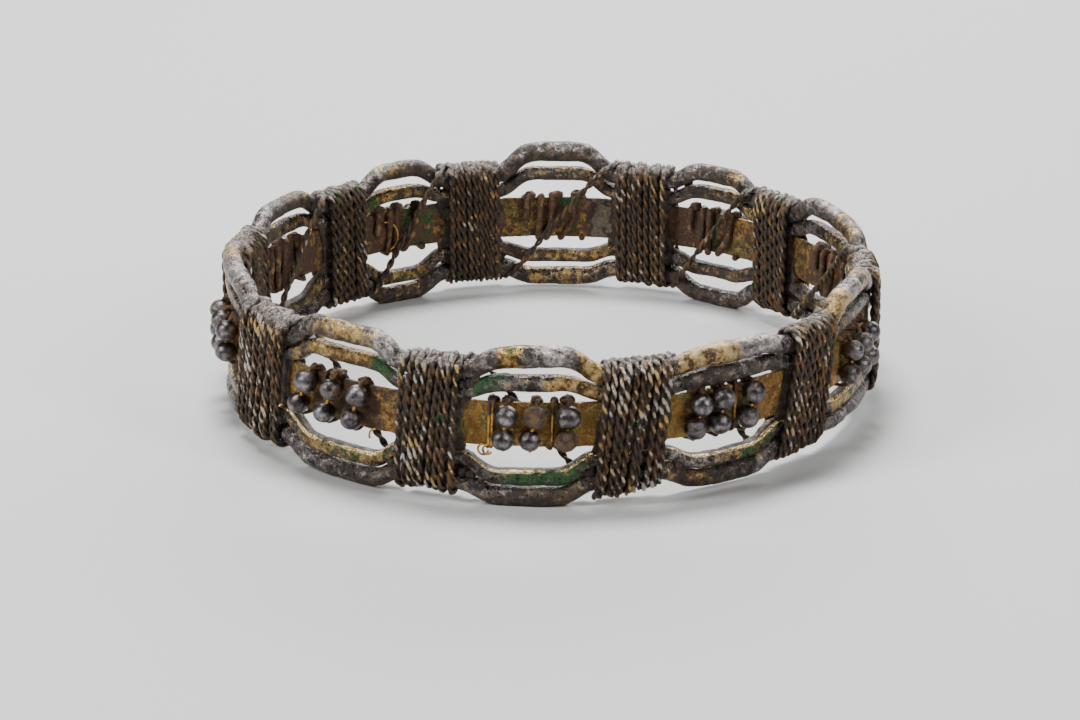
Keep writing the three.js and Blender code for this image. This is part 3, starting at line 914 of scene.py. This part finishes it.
def make_wrapping(k):
    """One wrapping and the strand behind the window after it, in two twisted strands."""
    points, normals = wire_way(k, np.random.default_rng(100 + k))
    length = walked_way(points)[-1]
    name = f"wire_wrap_{k + 1:02d}"
    joined = bmesh.new()
    for strand in (0, 1):
        bm, share, around = rolled_grid(int(length / TWIST_LENGTH * SECTIONS_PER_TWIST), STRAND_SIDES)
        place, out, side = frames_along(points, normals, share)
        twist = -TURN * share * length / TWIST_LENGTH + np.pi * strand
        top = np.clip((place[:, 2] - MID_HEIGHT - SEAT_OUTER - 0.3) / 1.2, 0, 1)
        crust = 0.05 * rough(place, 0.5, 3.0 + k) + 0.03 * rough(place, 1.3, 9.0 + k)
        crust = crust + top * (0.08 + 0.17 * rough(place, 0.6, 5.0 + k))
        thick = STRAND_RADIUS + crust
        x = STRAND_OFFSET * np.cos(twist) + thick * np.cos(around)
        y = STRAND_OFFSET * np.sin(twist) + thick * np.sin(around)
        set_points(bm.verts, place + out * x[:, None] + side * y[:, None])
        reach = STRAND_OFFSET + STRAND_RADIUS
        from_axis, facing_out = np.hypot(x, y) / reach, x / reach
        set_mark(bm, "crest", np.clip(0.55 * from_axis + 0.45 * facing_out, 0, 1))
        set_mark(bm, "top", top)
        inside = np.hypot(place[:, 0], place[:, 1]) < HOOP_RADIUS
        # The dull mark is 1 inside the hoop and, outside it, the wrapping's painted shade.
        set_mark(bm, "dull", np.where(inside, 1, WRAP_PAINTED_SHADE[k]))
        close_ends(bm)
        pour_into(joined, bm)
    finish_piece(name + "_twisted", joined, wire_silver, [name])


for k in range(COUNT):
    make_wrapping(k)

# %% [markdown]
# Earth and corrosion fill the inside of each wrapping, so no light shows between the rods there, and lumps
# of crust sit in some corners of the windows. Both start as icospheres, the earth squared up to a block.
# It is a piece of its own, rather than a part of the rods' meshes, so that it can be left out.

# %% Earth between the rods
BLOCK_POWER = 0.4
EARTH_HALF = 0.5
CRUST_SHAPE = np.array([1, 1, 1.1])
CRUST_SPOTS = {  # degrees from the front where crust bridges two rods, and its size in millimetres
    ("rod_upper_outer", "rod_upper_inner"): [
        (-14.4, 0.5), (-13.1, 0.62), (-12.2, 0.45), (43, 0.5), (152, 0.5), (188, 0.5)],
    ("rod_lower_outer", "rod_lower_inner"): [
        (-14.6, 0.55), (-13.3, 0.5), (6.6, 0.4), (7.6, 0.45), (-27.5, 0.5), (22.3, 0.5), (205, 0.5)],
}


def add_lump(bm, middle, size, seed):
    """A rough lump round the point middle."""
    born = bmesh.ops.create_icosphere(bm, subdivisions=4, radius=1)["verts"]
    local = get_points(born)
    swell = 1 + 0.30 * rough(local, 0.7, seed) + 0.15 * rough(local, 0.3, seed)
    set_points(born, local * swell[:, None] * size + middle)


def add_packed_earth(bm, k):
    """Earth packed under wrapping k, between the rods and the band, with ragged ends."""
    born = bmesh.ops.create_icosphere(bm, subdivisions=4, radius=1)["verts"]
    sides = get_points(born).T
    x, y, z = np.sign(sides) * np.abs(sides) ** BLOCK_POWER
    up = z * (SEAT_OUTER + WRAP_SPREAD[k] + LOWER_SPREAD * (z < 0))
    half = WRAP_TURNS[k] * WIRE_PITCH / 2 - 0.3
    spot = np.stack([x * half, y, up], axis=-1)
    lean = 0.75 * WRAP_LEAN[k] * up / (2 * BUNDLE_TOP)
    along = x * (half + 0.9 * rough(spot, 1.1, 2.0 + k)) + lean
    out = y * (EARTH_HALF + 0.12 * rough(spot, 0.9, 5.0 + k))
    angle = np.radians(WRAP_ANGLES[k]) + along / HOOP_RADIUS
    set_points(born, on_hoop(angle, HOOP_RADIUS + out, up))


def make_packed_earth():
    """The earth in the wrappings, and lumps of crust that bridge two rods beside them."""
    bm = bmesh.new()
    for k in range(COUNT):
        add_packed_earth(bm, k)
    for pair, spots in CRUST_SPOTS.items():
        for degrees, size in spots:
            angle = np.radians(np.array([degrees]))
            level = np.mean([level_round(node, angle)[0] for node in pair])
            middle = on_hoop(angle, HOOP_RADIUS + 0.35, level)[0]
            add_lump(bm, middle, size * CRUST_SHAPE, degrees)
    set_mark(bm, "earth", np.full(len(bm.verts), 0.9))
    finish_piece("packed_earth", bm, rod_silver)


make_packed_earth()

# %% [markdown]
# ## Beads and their lacing
# Six silver beads lie in each window, in two rows. A thin gilded wire carries them: it comes up in front of
# the band through a column of two beads, turns in over the band's edge and goes down behind it, with a
# plain turn or two beside the columns. Each bead starts as an icosphere, which has even faces all over,
# unlike a globe of rings, and is dented a little. The plain wire is a single strand laid by the same
# functions as the twisted one.

# %% The windows' own figures
BEAD_RADIUS = 1.08
BEAD_DISTANCE = HOOP_RADIUS + BAND_HALF[0] + 0.06 + BEAD_RADIUS
LACING_RADIUS = 0.17
SEAT_MARGIN = 0.3  # between a wrapping and its window
BEAD_LEVEL = 1.18
BEAD_PITCH = 2.15
BEAD_SPREAD = 0.14  # share of a window's spare length that goes between two beads
ROW_SHIFT = 0.007  # how far the upper row is turned along the hoop, in radians
PLACES = {  # beads that the photo shows clearly: degrees from the front, height, how dull, how big
    0: [(-6.9, 1.25, 0.1, 1.05), (-2.0, 1.2, 0.95, 1.04), (3.3, 1.2, 0.2, 1.09),
        (-7.4, -1.1, 0.35, 1.02), (-3.0, -1.15, 0.4, 0.98), (2.9, -1.1, 0.9, 1.04)],
    1: [(26.0, 1.2, 0.3, 1.06), (30.1, 1.5, 0.4, 1.06), (36.1, 1.4, 0.4, 1.06),
        (24.9, -1.05, 0.45, 1.04), (29.3, -0.9, 0.3, 1.06), (34.9, -0.95, 0.4, 1.04)],
    9: [(-44.4, 1.35, 0.2, 1.06), (-38.6, 1.3, 0.5, 1.0), (-33.1, 1.35, 0.0, 1.04),
        (-46.4, -1.2, 0.3, 1.0), (-40.2, -1.2, 0.15, 1.02), (-34.3, -1.15, 0.45, 1.02)],
}


def window_of(k):
    """First and last angle of the window before wrapping k, in radians."""
    before = (k - 1) % COUNT
    half = [(WRAP_TURNS[j] * WIRE_PITCH / 2 + SEAT_MARGIN) / HOOP_RADIUS for j in (before, k)]
    start = np.radians(WRAP_ANGLES[before] - (360 if k == 0 else 0)) + half[0]
    return start, np.radians(WRAP_ANGLES[k]) - half[1]


def bead_places(k, rng):
    """Angle, height, dullness and size of a window's six beads, upper row first."""
    if k in PLACES:
        return [(np.radians(angle), *rest) for angle, *rest in PLACES[k]]
    start, end = window_of(k)
    spare = (end - start) * HOOP_RADIUS - 3 * BEAD_PITCH
    pitch = (BEAD_PITCH + BEAD_SPREAD * spare) / BEAD_DISTANCE
    places = []
    for row in (1, -1):
        for column in (-1, 0, 1):
            angle = (start + end) / 2 + column * pitch + row * ROW_SHIFT + rng.normal(0, 0.006)
            height = row * BEAD_LEVEL + rng.normal(0, 0.05)
            places.append((angle, height, rng.uniform(0.0, 0.5), rng.uniform(0.97, 1.05)))
    return places


# %% Beads
def make_beads(k, places, rng):
    """The six beads of a window as one piece."""
    bm = bmesh.new()
    seat, dull = [], []
    for angle, height, dullness, size in places:
        born = bmesh.ops.create_icosphere(bm, subdivisions=4, radius=BEAD_RADIUS * size)["verts"]
        local = get_points(born)
        middle = on_hoop(angle, BEAD_DISTANCE, height)
        crust = 0.07 * dullness ** 2 * rough(local, 0.35, rng.uniform(0, 50))
        dents = 0.035 * rough(local, 1.2, rng.uniform(0, 50))
        dents = dents + 0.012 * rough(local, 0.4, rng.uniform(0, 50))
        squash = np.array([1, 1, rng.uniform(0.93, 1.0)])
        set_points(born, local * (1 + dents[:, None] + crust[:, None]) * squash + middle)
        inward = -middle / np.array([1, 1, np.inf])
        facing = local @ inward / (np.linalg.norm(inward) * BEAD_RADIUS * size)
        seat.extend(np.clip(0.45 + 0.9 * facing, 0, 1))
        dull.extend(np.full(len(born), dullness))
    set_mark(bm, "seat", seat)  # how far each vertex faces the band
    set_mark(bm, "dull", dull)
    name = f"bead_row_{k + 1:02d}"
    finish_piece(name + "_beads", bm, bead_silver, [name])


# %% Lacing wire
LACING_SIDES = 8
LACING_STEPS_PER_MM = 4
EDGE = BAND_HALF[1] + LACING_RADIUS + 0.07
BACK = HOOP_RADIUS - BAND_HALF[0] - LACING_RADIUS - 0.07
FRONT = HOOP_RADIUS + BAND_HALF[0] + LACING_RADIUS + 0.05
PLAIN_TURNS = {0: [(0, -0.055), (0, -0.045), (2, -0.048)], 1: [(2, -0.05)], 9: [(0, 0.05)]}
OTHER_TURNS = [(2, -0.048)]  # a column of beads, and how far beside it in radians
LUMP_SIZE = np.array([0.85, 0.75, 0.55])


def plain_turn(angle):
    """One turn of the lacing round the bare band: foot, front, top edge and back."""
    return [
        (angle - 0.010, BACK, 0.3 - EDGE), (angle - 0.005, HOOP_RADIUS, -EDGE),
        (angle, FRONT, 0.3 - EDGE), (angle + 0.004, FRONT, EDGE - 0.3),
        (angle + 0.007, HOOP_RADIUS, EDGE + 0.03), (angle + 0.010, BACK, EDGE - 0.3),
        (angle + 0.012, BACK, 0),
    ]


def beaded_turn(top, foot):
    """One turn of the lacing up through two beads, over the edge and down behind."""
    high, low = top[0], foot[0]
    return [
        (low - 0.006, BACK, 0.3 - EDGE), (low, HOOP_RADIUS, -EDGE), (low, FRONT + 0.5, 0.1 - EDGE),
        (low, BEAD_DISTANCE, foot[1]), ((high + low) / 2, BEAD_DISTANCE, 0.05),
        (high, BEAD_DISTANCE, top[1]), (high + 0.003, FRONT + 0.5, EDGE),
        (high + 0.006, HOOP_RADIUS, EDGE + 0.05), (high + 0.010, BACK, EDGE - 0.3), (high + 0.012, BACK, 0),
    ]


def lacing_way(k, places):
    """The way of the lacing through a window, as points."""
    route = []
    for column in range(3):
        for at, shift in PLAIN_TURNS.get(k, OTHER_TURNS):
            if at == column:
                route += plain_turn(places[column][0] + shift)
        route += beaded_turn(places[column], places[column + 3])
    turns = np.array(route)
    points = on_hoop(turns[:, 0], turns[:, 1], turns[:, 2])
    spread = np.linspace(0, len(points) - 1, 12 * len(points))
    known = np.arange(len(points))
    dense = np.stack([np.interp(spread, known, points[:, i]) for i in range(3)], axis=-1)
    return relax(dense, 10)


def make_lacing(k, places, rng):
    """The lacing of a window, crusted where it turns over the band's edge."""
    points = lacing_way(k, places)
    sideways = unit(np.stack([-points[:, 1], points[:, 0], 0 * points[:, 0]], axis=-1))
    steps = int(walked_way(points)[-1] * LACING_STEPS_PER_MM)
    bm, share, around = rolled_grid(steps, LACING_SIDES)
    place, out, side = frames_along(points, sideways, share)
    height = place[:, 2] - MID_HEIGHT
    radius = np.hypot(place[:, 0], place[:, 1])
    over_edge = np.exp(-((height - EDGE) / 0.45) ** 2)
    behind = np.clip((HOOP_RADIUS - radius) / 0.3, 0, 1)
    crust = over_edge * (0.4 + 0.6 * rough(place, 0.6, 8.0))
    crust = crust + behind * (1.3 + 0.8 * rough(place, 0.8, 6.0))
    thick = LACING_RADIUS * (1 + 0.15 * rough(place, 0.5, 5.0 + k) + crust)
    offset = out * np.cos(around)[:, None] + side * np.sin(around)[:, None]
    set_points(bm.verts, place + thick[:, None] * offset)
    clean = np.clip(1.3 - np.abs(height) / 1.8, 0, 1) * (radius > HOOP_RADIUS)
    set_mark(bm, "clean", clean)
    close_ends(bm)
    for column in range(3):
        spot = on_hoop(places[column][0], HOOP_RADIUS + 0.05, EDGE)
        add_lump(bm, spot, LUMP_SIZE * rng.uniform(0.6, 1.0), 3.7 * k + column)
    finish_piece(f"bead_row_{k + 1:02d}_lacing", bm, lacing_gilding)


for k in range(COUNT):
    rng = np.random.default_rng(500 + k)
    places = bead_places(k, rng)
    make_beads(k, places, rng)
    make_lacing(k, places, rng)

# %% [markdown]
# Here and there an end of the lacing has come loose and curls beside the band. Each curl is part of a
# circle. A curve drawn by hand would do too, but a circle needs only a place, a size and a share.

# %% Loose wire ends
LOOSE_RADIUS = 0.11
LOOSE_STEPS = 40
LOOSE_ENDS = [  # degrees from the front, distance, height, size in millimetres, share of a full circle
    (-10.9, FRONT, -2.0, 0.50, 0.75), (-10.2, FRONT, -2.1, 0.42, 0.70),
    (-30.5, FRONT, -2.0, 0.60, 0.35), (214.5, BACK - 0.2, 1.3, 1.60, 0.45),
]


def make_loose_ends():
    """The loose curls of thin wire."""
    joined = bmesh.new()
    for degrees, distance, height, size, circle in LOOSE_ENDS:
        bm, share, around = rolled_grid(LOOSE_STEPS, LACING_SIDES)
        way = np.linspace(0, 1, LOOSE_STEPS)
        turned = TURN * circle * way
        angle = np.radians(degrees) - size * np.sin(turned) / HOOP_RADIUS
        away = 0.3 * way * np.sign(distance - HOOP_RADIUS)
        points = on_hoop(angle, distance + away, height - size * (1 - np.cos(turned)))
        place, out, side = frames_along(points, on_hoop(angle, 1, 0) * (1, 1, 0), share)
        offset = out * np.cos(around)[:, None] + side * np.sin(around)[:, None]
        set_points(bm.verts, place + LOOSE_RADIUS * offset)
        set_mark(bm, "clean", np.ones(len(share)))
        close_ends(bm)
        pour_into(joined, bm)
    finish_piece("loose_ends", joined, lacing_gilding)


make_loose_ends()
